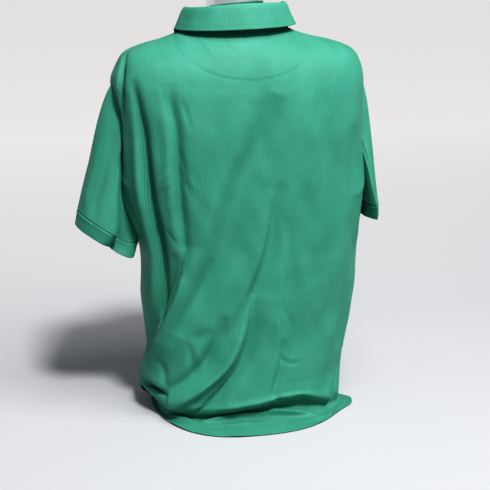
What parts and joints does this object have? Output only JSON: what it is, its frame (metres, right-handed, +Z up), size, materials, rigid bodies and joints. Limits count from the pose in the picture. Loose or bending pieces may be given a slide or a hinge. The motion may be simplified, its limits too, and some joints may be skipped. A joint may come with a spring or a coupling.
{
  "type": "polo shirt on a torso form",
  "caption": "Knitted short-sleeved polo shirt with turned-down collar and spread hem, filled out on a limbless table-top torso form with a metal neck stub.",
  "frame": {"origin": "middle of the torso form's flat base, on the table", "axes": "+Z up, +Y towards the wearer's back, +X towards the wearer's left"},
  "size_m": [0.5396, 0.3296, 0.766],
  "materials": {
    "green_knit": "fine ribbed knit, slight sheen",
    "green_band_knit": "knit sleeve band",
    "green_collar_knit": "flat knit collar",
    "button_plastic": "smooth",
    "form_skin": "matte off-white",
    "polished_metal": "polished"
  },
  "bodies": {
    "root": {"back_panel": "green_knit", "front_panel": "green_knit", "sleeve_left": "green_knit", "sleeve_right": "green_knit", "cuff_left": "green_band_knit", "cuff_right": "green_band_knit", "collar": "green_collar_knit", "placket_top": "green_knit", "placket_under": "green_knit", "half_moon": "green_knit", "button_1": "button_plastic", "button_2": "button_plastic", "button_3": "button_plastic", "form_torso": "form_skin", "form_neck": "polished_metal"}
  },
  "joints": []
}
